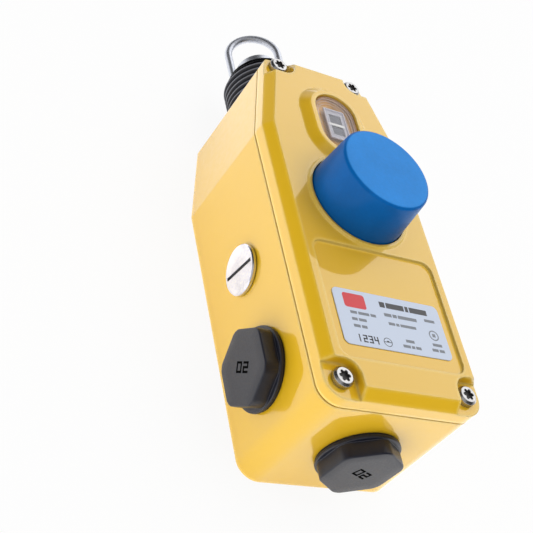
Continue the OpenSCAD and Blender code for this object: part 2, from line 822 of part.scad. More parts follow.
module bush_nut() {
    color("silver") on_rod(end_y - end_wall - bush_nut_t) difference() {
        hexagon(bush_nut_af, bush_nut_t);
        translate([0, 0, -1]) cylinder(r = bush_r, h = bush_nut_t + 2);
    }
}

module main_spring() {
    clear = 0.1;
    color("silver") on_rod(seat_front_y + clear)
        coil(spring_d, spring_wire, spring_l - 2 * clear, spring_turns);
}

module spring_seat() {
    color("dimgray") on_rod(seat_rear_y) difference() {
        cylinder(r = spring_d / 2 + 2, h = seat_t);
        translate([0, 0, -1]) cylinder(r = rod_r + fit, h = seat_t + 2);
    }
}

// The cam is a double cone: one plunger runs down its front flank, the other up its rear one
module cam_spool() {
    hub = rod_r + 2;
    inner = rod_r + fit;
    color("white") turned_on_rod([[inner, cam_rear_y], [hub, cam_rear_y],
        [hub, cam_mid_y - cam_l - 1], [cam_small_r, cam_mid_y - cam_l], [cam_r, cam_mid_y],
        [cam_small_r, cam_mid_y + cam_l], [hub, seat_rear_y], [inner, seat_rear_y]]);
}

// A strip bent up from the spring seat, with a flag that passes under the sight window
module tension_indicator() {
    strip = 1.5;
    strip_w = 5;
    flag_l = 21;
    flag_w = 11;
    flag_z = lid_under_z - 1.2 - strip;
    step_z = well_z - well_floor_t - 2.5;
    step_y = max(button_y + well_r + 2 + 0.6, seat_front_y + 1);
    color("white") {
        translate([strip_w / 2, 0, 0]) rotate([0, -90, 0]) linear_extrude(strip_w) polygon([
            [rod_z + rod_r + 2, seat_front_y], [rod_z + rod_r + 2, seat_front_y + strip],
            [step_z - strip, seat_front_y + strip], [step_z - strip, step_y + strip],
            [flag_z + e, step_y + strip], [flag_z + e, step_y], [step_z, step_y],
            [step_z, seat_front_y]]);
        translate([-flag_w / 2, step_y, flag_z]) cube([flag_w, flag_l, strip]);
    }
}

// ---- mechanism ----

module mechanism_frame() {
    plate_top = pivot_z - pin_r - air;
    front_y = spring_front_y;
    color("lightgray") difference() {
        union() {
            translate([-frame_half_w, rear_plate_y - frame_t, frame_z])
                cube([2 * frame_half_w, front_y + 2 * frame_t - rear_plate_y, frame_top_z - frame_z]);
            translate([-block_x - block_w, block_y, frame_z])
                cube([2 * (block_x + block_w), block_l, frame_top_z - frame_z]);
            for (y = [rear_plate_y - frame_t, front_y])
                translate([-frame_half_w, y, frame_z])
                    cube([2 * frame_half_w, frame_t, plate_top - frame_z]);
            for (s = [-1, 1]) translate([s * (ear_x + ear_t / 2), pivot_y, frame_z]) {
                translate([-ear_t / 2, -4, 0]) cube([ear_t, 8, pivot_z - frame_z]);
                translate([-ear_t / 2, 0, pivot_z - frame_z]) rotate([0, 90, 0])
                    cylinder(r = 4, h = ear_t);
            }
        }
        on_rod(rear_plate_y - frame_t - 1) cylinder(r = rod_r + running_gap, h = frame_t + 2);
        on_rod(front_y - 1) cylinder(r = rod_r + air, h = frame_t + 2);
        translate([-50, pivot_y, pivot_z]) rotate([0, 90, 0]) cylinder(r = pin_r + fit, h = 100);
        for (p = frame_screw_at) translate([p[0], p[1], 0]) cylinder(d = 3.4, h = frame_top_z + 1);
    }
}

module frame_screws() {
    color("silver") for (p = frame_screw_at) translate([p[0], p[1], frame_top_z])
        slot_screw(3, 5.5, 2, frame_top_z - 2);
}

// A contact block on side s with the bore for a plunger at place y
module contact_block(s, y) {
    difference() {
        translate([s > 0 ? block_x : -block_x - block_w, block_y, frame_top_z])
            cube([block_w, block_l, block_h]);
        translate([s * (block_x - 1), y, rod_z]) rotate([0, s * 90, 0])
            cylinder(r = plunger_r + running_gap, h = bore_end_x - block_x + 1);
        for (p = terminals(s)) translate([p[0], p[1], frame_top_z + block_h - 6])
            cylinder(d = 3, h = 7);
    }
}

// Terminal screws of the block on side s
function terminals(s) = [for (x = [0.28, 0.72], y = [0.2, 0.8])
    [s * (block_x + block_w * x), block_y + block_l * y]];

module pull_contact_block() { color("dimgray") contact_block(-1, pull_y); }
module slack_contact_block() { color("dimgray") contact_block(1, slack_y); }

// A plunger with a ball end, which points at the rod from side s
module plunger(s, y, tip_x) {
    translate([s * tip_x, y, rod_z]) rotate([0, s * 90, 0]) rotate_extrude() difference() {
        union() {
            translate([0, plunger_r]) circle(plunger_r);
            translate([0, plunger_r]) square([plunger_r, plunger_end_x - tip_x - plunger_r]);
        }
        translate([-50, -50]) square([50, 100]);
    }
}

module pull_plunger() { color("ivory") plunger(-1, pull_y, pull_tip_x); }
module slack_plunger() { color("ivory") plunger(1, slack_y, slack_tip_x); }

module terminal_screws() {
    color("silver") for (s = [-1, 1], p = terminals(s))
        translate([p[0], p[1], frame_top_z + block_h]) slot_screw(3, 4.6, 1.6, 5);
}

// A lever with a round pad under the stem and a nose over the cam's hub
module latch_lever() {
    nose = 5.4;
    color("silver") difference() {
        union() {
            translate([-hub_half_w, pivot_y, pivot_z]) rotate([0, 90, 0])
                cylinder(r = hub_r, h = 2 * hub_half_w);
            translate([-hub_half_w, button_y, pad_z]) rotate([0, 90, 0])
                cylinder(r = pad_r, h = 2 * hub_half_w);
            translate([hub_half_w, 0, 0]) rotate([0, -90, 0]) linear_extrude(2 * hub_half_w)
                polygon([[pivot_z + hub_r - 0.6, pivot_y], [pad_z, button_y],
                    [pad_z - pad_r, button_y], [pivot_z - hub_r + 1.6, pivot_y + 3],
                    [pivot_z - nose, pivot_y + 3], [pivot_z - nose, pivot_y + 1],
                    [pivot_z - hub_r + 1, pivot_y - 1]]);
        }
        translate([-20, pivot_y, pivot_z]) rotate([0, 90, 0]) cylinder(r = pin_r + fit, h = 40);
    }
}

module latch_pin() {
    length = 2 * (ear_x + ear_t) + 2;
    color("silver") translate([-length / 2, pivot_y, pivot_z]) rotate([0, 90, 0]) {
        cylinder(r = pin_r, h = length);
        translate([0, 0, -0.8]) cylinder(r = pin_r + 1, h = 0.8 + e);
    }
}

module latch_spring() {
    wire = 0.8;
    color("silver") translate([hub_half_w + air, pivot_y, pivot_z]) rotate([0, 90, 0])
        coil(2 * pin_r + wire + 0.4, wire, ear_x - hub_half_w - 2 * air, 4, 14, 6);
}

module earth_screw() {
    color("goldenrod") translate(earth_at) slot_screw(4, 7, 2.6, earth_at[2] - 2.2);
}

housing();
lid();
lid_gasket();
lid_screws();
window_lens();
window_seal();
sight_frame();
rating_label();
reset_button();
reset_stem();
reset_spring();
reset_seal();
stem_clip();
side_plug();
end_plug();
plug_seals();
port_plugs();
port_seals();
bellows();
pull_eye();
eye_nut();
pull_rod();
rod_bush();
bush_nut();
main_spring();
spring_seat();
cam_spool();
tension_indicator();
mechanism_frame();
frame_screws();
pull_contact_block();
slack_contact_block();
pull_plunger();
slack_plunger();
terminal_screws();
latch_lever();
latch_pin();
latch_spring();
earth_screw();
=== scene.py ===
import math

import bmesh
import bpy
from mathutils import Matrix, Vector


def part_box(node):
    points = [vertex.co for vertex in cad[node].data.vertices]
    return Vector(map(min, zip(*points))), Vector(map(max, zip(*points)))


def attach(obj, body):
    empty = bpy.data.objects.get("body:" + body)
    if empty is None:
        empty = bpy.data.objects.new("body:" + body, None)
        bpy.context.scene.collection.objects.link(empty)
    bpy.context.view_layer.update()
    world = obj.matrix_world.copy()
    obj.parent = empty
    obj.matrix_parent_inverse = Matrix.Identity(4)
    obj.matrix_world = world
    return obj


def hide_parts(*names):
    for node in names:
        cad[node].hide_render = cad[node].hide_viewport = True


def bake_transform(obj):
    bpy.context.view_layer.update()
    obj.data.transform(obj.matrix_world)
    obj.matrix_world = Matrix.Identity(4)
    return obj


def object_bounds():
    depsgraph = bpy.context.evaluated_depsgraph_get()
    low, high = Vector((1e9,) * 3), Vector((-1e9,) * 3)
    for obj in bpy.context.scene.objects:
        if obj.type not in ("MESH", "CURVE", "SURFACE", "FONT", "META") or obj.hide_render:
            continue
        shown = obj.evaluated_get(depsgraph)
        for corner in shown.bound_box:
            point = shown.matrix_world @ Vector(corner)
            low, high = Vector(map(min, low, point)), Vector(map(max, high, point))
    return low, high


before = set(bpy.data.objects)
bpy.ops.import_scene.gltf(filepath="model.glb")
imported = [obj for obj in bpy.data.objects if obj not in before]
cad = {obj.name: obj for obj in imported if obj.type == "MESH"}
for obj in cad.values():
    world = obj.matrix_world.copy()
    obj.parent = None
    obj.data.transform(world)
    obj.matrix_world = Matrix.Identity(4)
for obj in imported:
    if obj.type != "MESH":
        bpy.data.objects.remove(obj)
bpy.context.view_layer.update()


def middle(node):
    """The middle of a CAD node's box."""
    low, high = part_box(node)
    return (low + high) / 2


# ---- places taken from the CAD, in metres ----

ROD_Z = middle("pull_rod").z
ROD_R = (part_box("pull_rod")[1].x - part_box("pull_rod")[0].x) / 2
CASING_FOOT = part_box("housing")[0].y
CASING_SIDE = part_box("housing")[0].x
BUTTON_Y = middle("reset_button").y
WINDOW_Y = middle("window_lens").y
ENTRY = Vector((CASING_SIDE, middle("side_plug").y, middle("side_plug").z))


def on_rod(y):
    """The point on the rod's axis at y."""
    return Vector((0, y, ROD_Z))


# ---- meshes ----

def new_piece(name, mesh, surface, body, smooth=40.0):
    """Puts a mesh into the scene as a piece that rides on a body, unless body is None."""
    mesh.materials.append(surface)
    piece = bpy.data.objects.new(name, mesh)
    bpy.context.scene.collection.objects.link(piece)
    if smooth:
        mesh.shade_smooth()
        mesh.set_sharp_from_angle(angle=math.radians(smooth))
    if body:
        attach(piece, body)
    return piece


def mesh_from(name, points, faces):
    """A mesh whose doubled points are joined and whose faces look outwards."""
    mesh = bpy.data.meshes.new(name)
    mesh.from_pydata([tuple(point) for point in points], [], faces)
    mesh.validate()
    form = bmesh.new()
    form.from_mesh(mesh)
    bmesh.ops.remove_doubles(form, verts=form.verts, dist=1e-7)
    bmesh.ops.recalc_face_normals(form, faces=form.faces)
    form.to_mesh(mesh)
    form.free()
    return mesh


def skin_rows(rows, count):
    """Faces between neighbouring rows of points, each a closed ring of count points."""
    faces = []
    for row in range(rows - 1):
        a, b = row * count, (row + 1) * count
        for i in range(count):
            j = (i + 1) % count
            faces.append((a + i, a + j, b + j, b + i))
    return faces


def lathe(name, profile, centre, axis, sides=96):
    """Turns a profile of (radius, place along the axis) round the axis through centre."""
    to_axis = Vector((0, 0, 1)).rotation_difference(Vector(axis)).to_matrix()
    points = []
    for radius, along in profile:
        for i in range(sides):
            turn = math.tau * i / sides
            place = to_axis @ Vector((radius * math.cos(turn), radius * math.sin(turn), along))
            points.append(Vector(centre) + place)
    return mesh_from(name, points, skin_rows(len(profile), sides))


def rounded_profile(corners, steps=6):
    """A profile whose corners (radius, along, rounding) are rounded by arcs."""
    out = []
    for i, (radius, along, rounding) in enumerate(corners):
        here = Vector((radius, along))
        if rounding <= 0 or i in (0, len(corners) - 1):
            out.append(tuple(here))
            continue
        before = (Vector(corners[i - 1][:2]) - here).normalized()
        after = (Vector(corners[i + 1][:2]) - here).normalized()
        half = before.angle(after) / 2
        reach = rounding / math.tan(half)
        hub = here + (before + after).normalized() * rounding / math.sin(half)
        start, end = here + before * reach - hub, here + after * reach - hub
        sweep = start.angle_signed(end)
        for step in range(steps + 1):
            t = -sweep * step / steps
            out.append((hub.x + start.x * math.cos(t) - start.y * math.sin(t),
                        hub.y + start.x * math.sin(t) + start.y * math.cos(t)))
    return out


def wire_along(name, path, radius, sides=14):
    """A round wire swept along a path, carried without twist from point to point."""
    last = len(path) - 1
    points = []
    side = None
    for i, here in enumerate(path):
        along = (path[min(i + 1, last)] - path[max(i - 1, 0)]).normalized()
        if side is None:
            side = along.orthogonal()
        side = (side - along * side.dot(along)).normalized()
        other = along.cross(side)
        for j in range(sides):
            turn = math.tau * j / sides
            points.append(here + (side * math.cos(turn) + other * math.sin(turn)) * radius)
    ends = [tuple(range(sides)), tuple(range(last * sides, (last + 1) * sides))]
    return mesh_from(name, points, skin_rows(len(path), sides) + ends)


def coil_path(centre, axis, radius, length, turns, dead=0.6, steps=28):
    """The middle line of a coil spring whose end turns lie flat for a share of a turn."""
    to_axis = Vector((0, 0, 1)).rotation_difference(Vector(axis)).to_matrix()
    path = []
    for i in range(int(turns * steps) + 1):
        turn = i / steps
        rise = min(max((turn - dead) / (turns - 2 * dead), 0), 1)
        angle = math.tau * turn
        place = Vector((radius * math.cos(angle), radius * math.sin(angle), rise * length))
        path.append(Vector(centre) + to_axis @ place)
    return path


def plane_at(origin, right, up, turn=0.0):
    """Gives the function that takes (right, up, outwards) on a plane to a point.

    turn is in degrees, from right towards up.
    """
    cos, sin = math.cos(math.radians(turn)), math.sin(math.radians(turn))
    right, up = Vector(right), Vector(up)
    across, along, out = right * cos + up * sin, up * cos - right * sin, right.cross(up)
    return lambda u, v, height: Vector(origin) + across * u + along * v + out * height


def prisms(name, parts):
    """One mesh of prisms, each given as (outline, its plane, lower height, upper height)."""
    form = bmesh.new()
    for outline, plane, low, high in parts:
        lower = [form.verts.new(plane(u, v, low)) for u, v in outline]
        upper = [form.verts.new(plane(u, v, high)) for u, v in outline]
        form.faces.new(list(reversed(lower)))
        form.faces.new(upper)
        count = len(outline)
        for i in range(count):
            j = (i + 1) % count
            form.faces.new((lower[i], lower[j], upper[j], upper[i]))
    bmesh.ops.recalc_face_normals(form, faces=form.faces)
    mesh = bpy.data.meshes.new(name)
    form.to_mesh(mesh)
    form.free()
    return mesh


def flat_piece(name, outlines, plane, surface, low=0.0, high=0.00002, body="casing"):
    """Flat outlines between two heights over a plane; the usual ones are those of print."""
    parts = [(outline, plane, low, high) for outline in outlines]
    return new_piece(name, prisms(name, parts), surface, body, 0)


def bar(x, y, width, height):
    """A rectangle from its lower left corner."""
    return [(x, y), (x + width, y), (x + width, y + height), (x, y + height)]


def arc(x, y, radius, start, sweep, steps):
    """Points along an arc round (x, y); the angles are in degrees."""
    turns = [math.radians(start + sweep * i / steps) for i in range(steps + 1)]
    return [(x + radius * math.cos(turn), y + radius * math.sin(turn)) for turn in turns]


def rounded_plate(width, height, radius, steps=8):
    """A rectangle with round corners, round the origin."""
    x, y = width / 2 - radius, height / 2 - radius
    outline = []
    for cx, cy, start in ((x, y, 0), (-x, y, 90), (-x, -y, 180), (x, -y, 270)):
        outline += arc(cx, cy, radius, start, 90, steps)
    return outline


def stadium(radius, span, steps=36):
    """An outline of two half circles, span apart, with straight sides between them."""
    return arc(0, span / 2, radius, 0, 180, steps) + arc(0, -span / 2, radius, 180, 180, steps)


def ring_shape(x, y, radius, weight, sides=28):
    """A thin ring as a row of short strokes."""
    shapes = []
    for i in range(sides):
        a, b = math.tau * i / sides, math.tau * (i + 1) / sides
        corners = ((radius, a), (radius, b), (radius - weight, b), (radius - weight, a))
        shapes.append([(x + reach * math.cos(turn), y + reach * math.sin(turn))
                       for reach, turn in corners])
    return shapes


def pair_of_bars(width, height, gap):
    """Two bars above and below the origin, each at a gap from it."""
    return [bar(-width / 2, gap, width, height), bar(-width / 2, -gap - height, width, height)]


# ---- shader trees ----

def put(tree, kind, values=(), **settings):
    """Adds a shader node; values sets or feeds its inputs by name or number."""
    node = tree.nodes.new("ShaderNode" + kind)
    for key, value in settings.items():
        setattr(node, key, value)
    for key, value in dict(values).items():
        if isinstance(value, bpy.types.NodeSocket):
            tree.links.new(value, node.inputs[key])
        else:
            node.inputs[key].default_value = value
    return node


def maths(tree, operation, a, b, clamp=False):
    """A Math node's result."""
    return put(tree, "Math", {0: a, 1: b}, operation=operation, use_clamp=clamp).outputs[0]


def spread(tree, value, start, end, low=0.0, high=1.0, soft=False):
    """A Map Range node's result: low up to start, high from end on."""
    kind = "SMOOTHSTEP" if soft else "LINEAR"
    ends = {"Value": value, "From Min": start, "From Max": end, "To Min": low, "To Max": high}
    return put(tree, "MapRange", ends, interpolation_type=kind).outputs[0]


def mix_colors(tree, share, first, second):
    """A Mix node's colour; the two colours are sockets or (red, green, blue)."""
    node = put(tree, "Mix", {0: share}, data_type="RGBA")
    for socket, color in ((node.inputs[6], first), (node.inputs[7], second)):
        if isinstance(color, bpy.types.NodeSocket):
            tree.links.new(color, socket)
        else:
            socket.default_value = (*color, 1)
    return node.outputs[2]


def shader_group(name, inputs, outputs):
    """A shader group with named inputs and outputs; gives the tree and its two sets of sockets."""
    tree = bpy.data.node_groups.new(name, "ShaderNodeTree")
    for label, kind, value in inputs:
        socket = tree.interface.new_socket(name=label, in_out="INPUT", socket_type="NodeSocket" + kind)
        socket.default_value = value
    for label, kind in outputs:
        tree.interface.new_socket(name=label, in_out="OUTPUT", socket_type="NodeSocket" + kind)
    taken = tree.nodes.new("NodeGroupInput").outputs
    given = tree.nodes.new("NodeGroupOutput").inputs
    return tree, taken, given


def make_tone_drift():
    """Slow changes of tone over a surface, and a finer mottle."""
    tree, taken, given = shader_group(
        "tone_drift",
        [("Color", "Color", (0.5, 0.5, 0.5, 1)), ("Scale", "Float", 40.0), ("Amount", "Float", 0.1)],
        [("Color", "Color")])
    mottle_scale, mottle_share, mean = 14.0, 0.5, 0.75
    place = put(tree, "TexCoord").outputs["Object"]
    slow = put(tree, "TexNoise", {"Vector": place, "Scale": taken["Scale"], "Detail": 2.0})
    fine_scale = maths(tree, "MULTIPLY", taken["Scale"], mottle_scale)
    fine = put(tree, "TexNoise", {"Vector": place, "Scale": fine_scale, "Detail": 3.0})
    mottle = maths(tree, "MULTIPLY", fine.outputs["Fac"], mottle_share)
    both = maths(tree, "ADD", slow.outputs["Fac"], mottle)
    swing = maths(tree, "MULTIPLY", maths(tree, "SUBTRACT", both, mean), taken["Amount"])
    value = maths(tree, "ADD", swing, 1.0)
    toned = put(tree, "HueSaturation", {"Value": value, "Color": taken["Color"]})
    tree.links.new(toned.outputs["Color"], given["Color"])
    return tree


def make_edge_wear_and_highlight():
    """A broken line along the edges of a surface, for rubbed wear and for a painted highlight, and the
    normal that softens them.
    """
    tree, taken, given = shader_group(
        "edge_wear_and_highlight",
        [("Radius", "Float", 0.0006), ("Breakup", "Float", 900.0)],
        [("Mask", "Float"), ("Normal", "Vector")])
    soft = put(tree, "Bevel", {"Radius": taken["Radius"]}, samples=6).outputs["Normal"]
    hard = put(tree, "NewGeometry").outputs["Normal"]
    likeness = put(tree, "VectorMath", {0: soft, 1: hard}, operation="DOT_PRODUCT").outputs["Value"]
    edge = spread(tree, likeness, 0.995, 0.86)
    place = put(tree, "TexCoord").outputs["Object"]
    spots = put(tree, "TexNoise", {"Vector": place, "Scale": taken["Breakup"], "Detail": 4.0})
    kept = spread(tree, spots.outputs["Fac"], 0.16, 0.4)
    tree.links.new(maths(tree, "MULTIPLY", edge, kept, clamp=True), given["Mask"])
    tree.links.new(soft, given["Normal"])
    return tree


def make_fine_grain():
    """Fine grain: its height, and its value for changes of gloss."""
    tree, taken, given = shader_group(
        "fine_grain",
        [("Scale", "Float", 1200.0), ("Stretch", "Vector", (1, 1, 1)), ("Roughest", "Float", 0.5),
         ("Smoothest", "Float", 0.3)],
        [("Height", "Float"), ("Roughness", "Float")])
    place = put(tree, "TexCoord").outputs["Object"]
    drawn = put(tree, "VectorMath", {0: place, 1: taken["Stretch"]}, operation="MULTIPLY")
    grain = put(tree, "TexNoise",
                {"Vector": drawn.outputs[0], "Scale": taken["Scale"], "Detail": 3.0, "Roughness": 0.6})
    gloss = spread(tree, grain.outputs["Fac"], 0.3, 0.7, taken["Smoothest"], taken["Roughest"])
    tree.links.new(grain.outputs["Fac"], given["Height"])
    tree.links.new(gloss, given["Roughness"])
    return tree


TONE_DRIFT = make_tone_drift()
EDGE_WEAR_AND_HIGHLIGHT = make_edge_wear_and_highlight()
FINE_GRAIN = make_fine_grain()


def finish(name, color, drift=(40.0, 0.08), grain=(1200.0, 0.35, 0.45), relief=0.00001,
           stretch=(1, 1, 1), wear_and_highlight=None, edge=0.0005, sides=None, crest_highlight=None, **sockets):
    """A finish with drifting tone, fine grain and soft edges.

    drift is the scale and the amount of the change of tone; grain is its scale and the
    lowest and highest roughness; relief is the grain's height and edge the edges' radius, in
    metres. Where worn is a colour, the edges take it: rubbed wear, and on the casing paint a
    painted highlight along its edges. Where sides is a colour, the faces that don't look up
    are that colour, a painted shade on the sides. Where crests is a colour, the mesh's own
    value "crest" brings it in, a painted highlight along the bellows' folds.
    """
    material = bpy.data.materials.new(name)
    material.use_nodes = True
    tree = material.node_tree
    tree.nodes.clear()
    base = (*color, 1)
    # Painted shade: faces that don't look up take the darker sides colour
    if sides:
        upwards = put(tree, "SeparateXYZ", {0: put(tree, "NewGeometry").outputs["True Normal"]})
        unshaded_top = spread(tree, upwards.outputs["Z"], 0.86, 0.985)
        base = mix_colors(tree, unshaded_top, sides, color)
    toned = put(tree, "Group", {"Color": base, "Scale": drift[0], "Amount": drift[1]}, node_tree=TONE_DRIFT)
    grained = put(tree, "Group", {"Scale": grain[0], "Smoothest": grain[1], "Roughest": grain[2],
                                  "Stretch": stretch}, node_tree=FINE_GRAIN)
    edges = put(tree, "Group", {"Radius": edge}, node_tree=EDGE_WEAR_AND_HIGHLIGHT)
    shade = toned.outputs["Color"]
    # Painted highlight along the bellows' folds, where the mesh's value "crest" is high
    if crest_highlight:
        crest = put(tree, "Attribute", attribute_name="crest").outputs["Fac"]
        shade = mix_colors(tree, crest, shade, crest_highlight)
    # Edges take their own colour: rubbed wear, and on the casing paint a painted highlight
    if wear_and_highlight:
        shade = mix_colors(tree, edges.outputs["Mask"], shade, wear_and_highlight)
    raised = put(tree, "Bump", {"Height": grained.outputs["Height"], "Normal": edges.outputs["Normal"],
                                "Distance": relief, "Strength": 1.0})
    skin = put(tree, "BsdfPrincipled", {"Base Color": shade, "Roughness": grained.outputs["Roughness"],
                                        "Normal": raised.outputs["Normal"]})
    for label, value in sockets.items():
        skin.inputs[label.replace("_", " ")].default_value = value
    put(tree, "OutputMaterial", {"Surface": skin.outputs[0]})
    return material


# ---- finishes ----

# The pale edge colour of the casing paint is a painted highlight along its edges
PAINT = finish("casing_paint", (0.72, 0.43, 0.012), drift=(28.0, 0.035), grain=(420.0, 0.3, 0.4),
               relief=0.000008, wear_and_highlight=(0.93, 0.66, 0.14), edge=0.002,
               IOR=1.25, Coat_Weight=1.0, Coat_Roughness=0.04, Coat_IOR=1.62)
# The button's sides are a darker blue than its top: painted shade where less light falls on them
BUTTON_BLUE = finish("button_plastic", (0.02, 0.23, 0.65), sides=(0.0, 0.1, 0.355), drift=(75.0, 0.4),
                     grain=(2200.0, 0.38, 0.52), relief=0.00004, edge=0.0004,
                     IOR=1.12, Coat_Weight=0.2, Coat_Roughness=0.16, Coat_IOR=1.45)
PLUG_PLASTIC = finish("plug_plastic", (0.006, 0.007, 0.016), drift=(50.0, 0.12),
                      grain=(1900.0, 0.3, 0.46), relief=0.00003, wear_and_highlight=(0.07, 0.07, 0.08), edge=0.0004,
                      IOR=1.5)
DIGIT_SHADOW = finish("digit_shadow", (0.002, 0.002, 0.002), drift=(300.0, 0.5),
                      grain=(1500.0, 0.7, 0.9), edge=0.00005, IOR=1.05)
# The pale crest colour is a painted highlight along the folds
BOOT_RUBBER = finish("bellows_rubber", (0.003, 0.003, 0.004), crest_highlight=(0.15, 0.155, 0.18),
                     drift=(60.0, 0.1), grain=(600.0, 0.24, 0.34), relief=0.000001, edge=0.0002,
                     IOR=1.18)
SEAL_RUBBER = finish("seal_rubber", (0.012, 0.012, 0.012), drift=(80.0, 0.2), grain=(1500.0, 0.5, 0.75),
                     relief=0.00002)
LENS = finish("lens_plastic", (0.86, 0.84, 0.86), drift=(30.0, 0.01), grain=(600.0, 0.04, 0.1),
              relief=0.000004, edge=0.0006, IOR=1.5, Alpha=0.13, Coat_Weight=1.0, Coat_Roughness=0.03)
# Rings for the lens's moulded steps; their pale colour is a painted reflection
LENS_STEP_GLINT = finish("lens_step_glint", (0.86, 0.74, 0.66), drift=(400.0, 0.3), edge=0.00005, Alpha=0.5)
# Amber for the well and the wall under the lens: the seat's own yellow paint, with a streaked painted
# reflection of that paint in the lens's inner edge
WELL_AMBER = finish("window_well_amber", (0.52, 0.255, 0.025), drift=(260.0, 1.2),
                    grain=(500.0, 0.2, 0.4), stretch=(1, 0.25, 1), relief=0.00003)
SIGHT_GREY = finish("sight_frame_plastic", (0.4, 0.39, 0.44), drift=(60.0, 0.08),
                    grain=(1600.0, 0.25, 0.4), wear_and_highlight=(0.75, 0.73, 0.78))
SIGHT_PALE = finish("sight_border_plastic", (0.66, 0.63, 0.7), drift=(90.0, 0.08),
                    grain=(1600.0, 0.2, 0.35))
SMOKED = finish("index_smoked", (0.15, 0.155, 0.185), drift=(500.0, 0.5), grain=(1800.0, 0.3, 0.5),
                edge=0.00005, Alpha=0.7)
FLAG_WHITE = finish("indicator_plastic", (0.78, 0.77, 0.75), drift=(60.0, 0.05),
                    grain=(1400.0, 0.35, 0.5))
FLAG_MARK = finish("indicator_mark", (0.13, 0.135, 0.16), drift=(500.0, 0.5), grain=(1800.0, 0.3, 0.5))
LABEL_FILM = finish("label_film", (0.54, 0.605, 0.73), drift=(30.0, 0.02), grain=(300.0, 0.3, 0.36),
                    relief=0.0000002, edge=0.00005)
INK_BLACK = finish("label_ink", (0.03, 0.03, 0.035), drift=(200.0, 0.3), grain=(2500.0, 0.3, 0.5),
                   edge=0.00002)
INK_RED = finish("label_red", (0.6, 0.035, 0.045), drift=(200.0, 0.1), grain=(2500.0, 0.3, 0.5),
                 edge=0.00002)
INK_GREY = finish("label_grey", (0.17, 0.185, 0.21), drift=(200.0, 0.2), grain=(2500.0, 0.3, 0.5),
                  edge=0.00002)
CHROME = finish("port_chrome", (0.76, 0.76, 0.83), drift=(120.0, 0.9), grain=(500.0, 0.08, 0.2),
                relief=0.000004, edge=0.0004, Metallic=1.0)
# Painted shade in the slots of the port plugs
SLOT_SHADE = finish("slot_shade", (0.075, 0.075, 0.085), drift=(300.0, 0.8), grain=(900.0, 0.2, 0.4))
EYE_STEEL = finish("eye_steel", (0.58, 0.6, 0.66), drift=(90.0, 0.12), grain=(1500.0, 0.36, 0.5),
                   relief=0.000006, edge=0.0003, Metallic=1.0)
SCREW_STEEL = finish("screw_steel", (0.46, 0.455, 0.46), drift=(500.0, 0.5), grain=(1700.0, 0.2, 0.36),
                     relief=0.000006, edge=0.00025, Metallic=1.0)
# Painted shade in the sockets of the lid screws
SOCKET_SHADE = finish("socket_shade", (0.02, 0.018, 0.018), drift=(900.0, 0.8),
                      grain=(2500.0, 0.4, 0.6))
ROD_STEEL = finish("rod_steel", (0.56, 0.56, 0.56), drift=(60.0, 0.06), grain=(900.0, 0.18, 0.34),
                   stretch=(6, 0.4, 6), relief=0.000006, Metallic=1.0)
SPRING_STEEL = finish("spring_steel", (0.42, 0.42, 0.44), drift=(140.0, 0.12),
                      grain=(1500.0, 0.22, 0.4), relief=0.000006, Metallic=1.0)
BUSH_BRONZE = finish("bush_bronze", (0.55, 0.34, 0.15), drift=(90.0, 0.12), grain=(1100.0, 0.25, 0.42),
                     Metallic=1.0)
TERMINAL_BRASS = finish("terminal_brass", (0.66, 0.47, 0.2), drift=(120.0, 0.12),
                        grain=(1500.0, 0.2, 0.38), relief=0.000006, Metallic=1.0)
FRAME_ZINC = finish("frame_zinc", (0.52, 0.53, 0.55), drift=(35.0, 0.14), grain=(320.0, 0.28, 0.48),
                    wear_and_highlight=(0.68, 0.68, 0.7), Metallic=1.0)
CAM_PLASTIC = finish("cam_plastic", (0.74, 0.72, 0.68), drift=(60.0, 0.06), grain=(1200.0, 0.3, 0.45))
BLOCK_PLASTIC = finish("block_plastic", (0.03, 0.03, 0.034), drift=(60.0, 0.2),
                       grain=(1500.0, 0.35, 0.55), relief=0.00002, wear_and_highlight=(0.07, 0.07, 0.075))
PLUNGER_IVORY = finish("plunger_plastic", (0.68, 0.6, 0.42), drift=(90.0, 0.08),
                       grain=(1400.0, 0.35, 0.5))

# The finish of each CAD node
FINISHES = {
    PAINT: ["housing", "lid"],
    SEAL_RUBBER: ["lid_gasket", "window_seal", "plug_seals", "port_seals", "reset_seal"],
    SCREW_STEEL: ["lid_screws", "bush_nut", "frame_screws"],
    LENS: ["window_lens"],
    SIGHT_GREY: ["sight_frame"],
    LABEL_FILM: ["rating_label"],
    BUTTON_BLUE: ["reset_button"],
    ROD_STEEL: ["reset_stem", "pull_rod", "spring_seat", "latch_pin"],
    SPRING_STEEL: ["reset_spring", "main_spring", "stem_clip", "latch_spring", "latch_lever"],
    PLUG_PLASTIC: ["side_plug", "end_plug"],
    CHROME: ["port_plugs"],
    BOOT_RUBBER: ["bellows"],
    EYE_STEEL: ["pull_eye", "eye_nut"],
    BUSH_BRONZE: ["rod_bush"],
    CAM_PLASTIC: ["cam_spool"],
    FLAG_WHITE: ["tension_indicator"],
    FRAME_ZINC: ["mechanism_frame"],
    BLOCK_PLASTIC: ["pull_contact_block", "slack_contact_block"],
    PLUNGER_IVORY: ["pull_plunger", "slack_plunger"],
    TERMINAL_BRASS: ["terminal_screws", "earth_screw"],
}
for surface, nodes in FINISHES.items():
    for node in nodes:
        cad[node].data.materials.clear()
        cad[node].data.materials.append(surface)


# ---- the rope's end: bellows and springs ----

